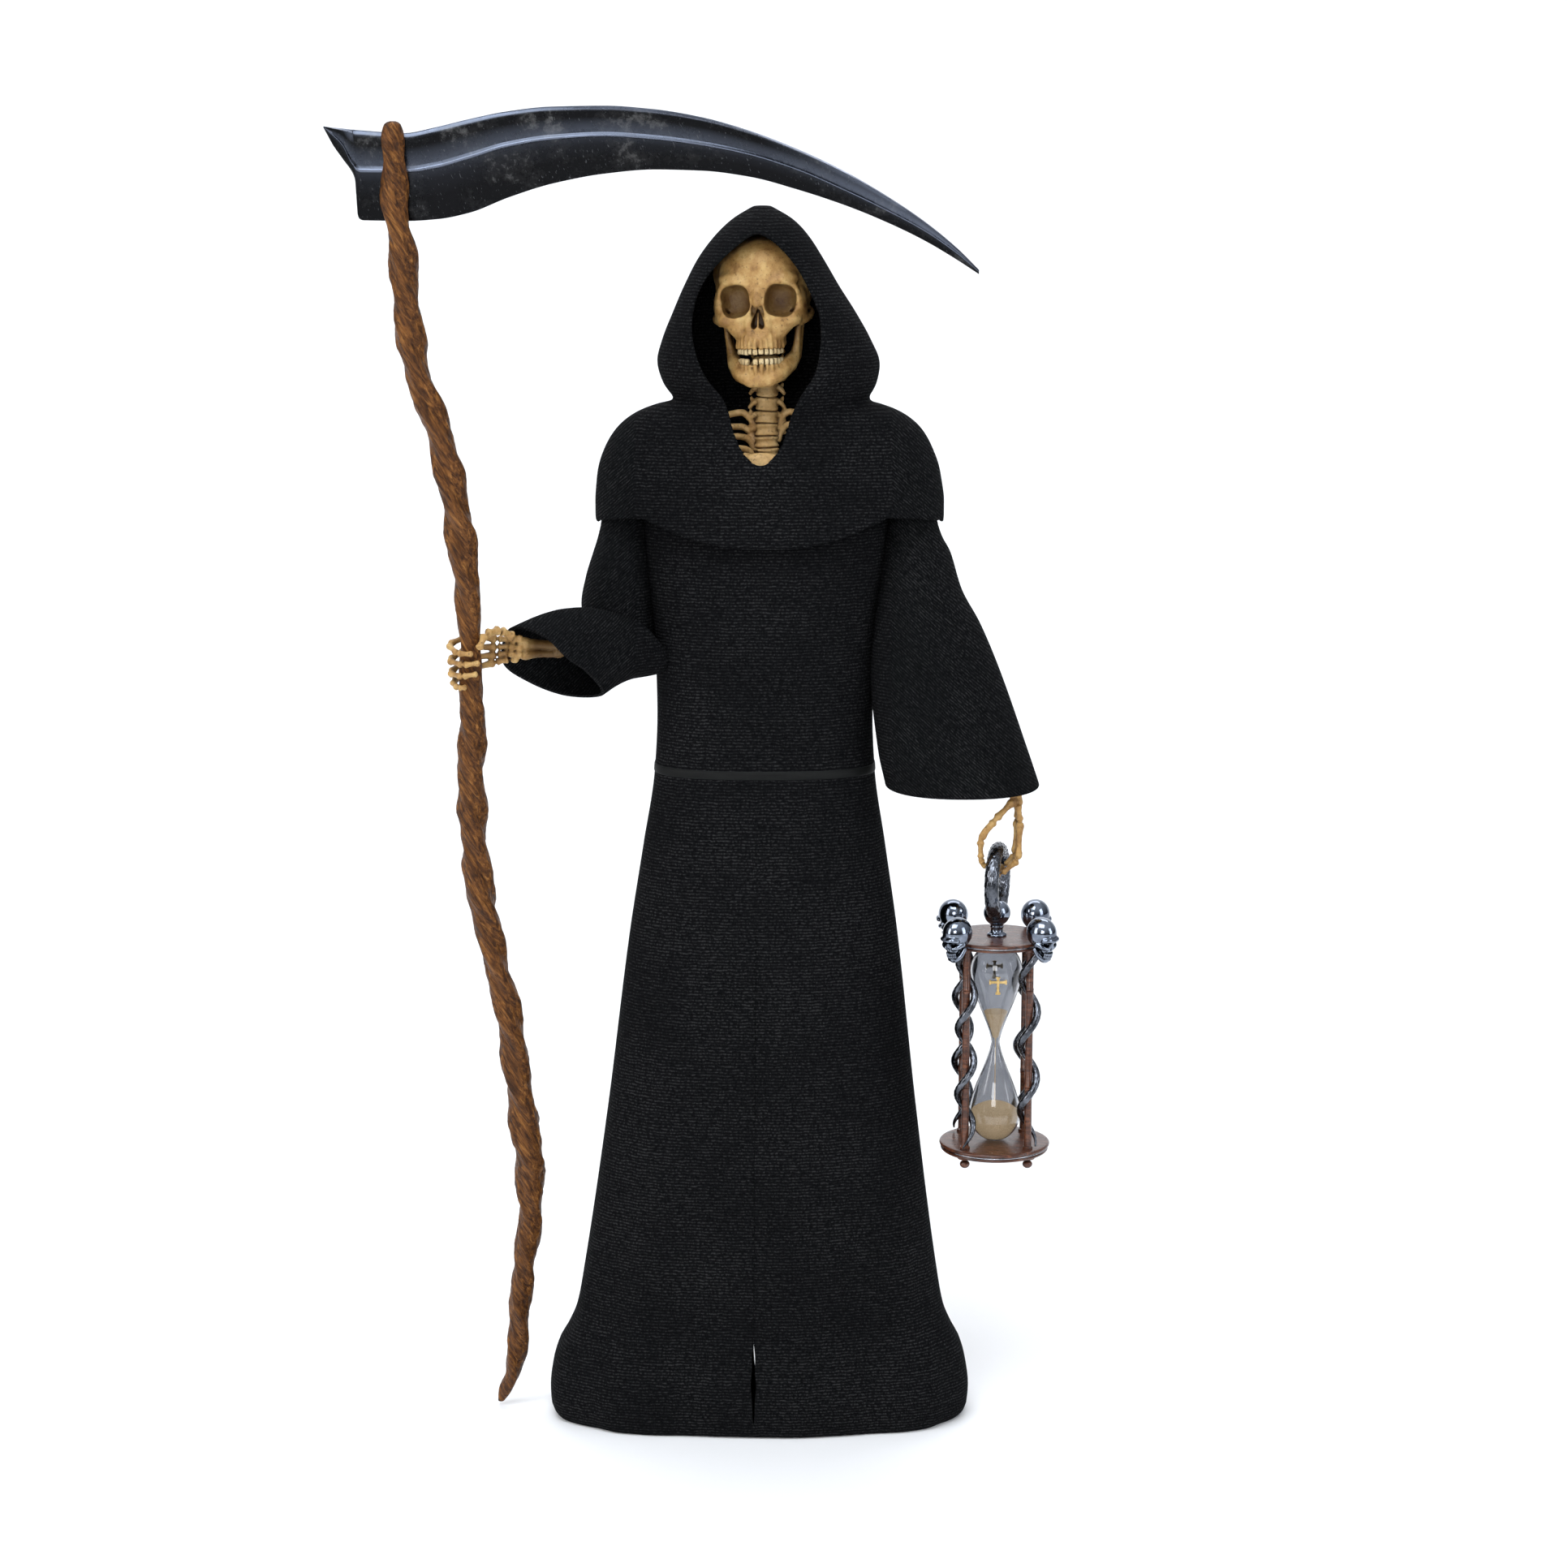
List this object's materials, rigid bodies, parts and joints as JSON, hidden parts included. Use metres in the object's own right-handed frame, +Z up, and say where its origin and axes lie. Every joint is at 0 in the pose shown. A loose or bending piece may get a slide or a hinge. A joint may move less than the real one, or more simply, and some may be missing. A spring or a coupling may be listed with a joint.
{
  "type": "grim reaper figurine",
  "caption": "Standing hooded skeleton figurine in a long robe, holding a scythe and hanging an hourglass from a ring.",
  "frame": {"origin": "centre of the robe's flat underside, on the surface it stands on", "axes": "+Z up, -Y the way the figure faces, +X to the left hand with the hourglass"},
  "size_m": [0.2524, 0.1159, 0.4871],
  "materials": {
    "black_cloth_resin": "cast resin painted matte black with a fine knitted texture",
    "satin_band": "smooth satin black",
    "aged_bone_resin": "cast resin painted as old bone, with dark recesses",
    "gnarled_wood_resin": "cast resin painted as knobbly varnished wood",
    "blackened_steel": "dark, scratched, with a soft shine",
    "polished_red_wood": "polished reddish brown",
    "scaled_gunmetal": "dark plated metal with scales",
    "clear_glass": "clear",
    "gilt_metal": "aged gilt"
  },
  "bodies": {
    "root": {"robe": "black_cloth_resin", "belt": "satin_band", "hooded_cape": "black_cloth_resin", "skull": "aged_bone_resin", "neck_and_ribs": "aged_bone_resin", "right_hand": "aged_bone_resin", "left_hand": "aged_bone_resin", "scythe_staff": "gnarled_wood_resin", "scythe_blade": "blackened_steel", "hourglass_base": "polished_red_wood", "hourglass_top": "polished_red_wood", "hourglass_post_1": "polished_red_wood", "hourglass_post_2": "polished_red_wood", "hourglass_post_3": "polished_red_wood", "hourglass_post_4": "polished_red_wood", "hourglass_glass": "clear_glass", "serpent_1": "scaled_gunmetal", "serpent_2": "scaled_gunmetal", "serpent_3": "scaled_gunmetal", "serpent_4": "scaled_gunmetal", "ring_handle": "scaled_gunmetal", "cross_front": "gilt_metal", "cross_back": "gilt_metal"}
  },
  "joints": []
}
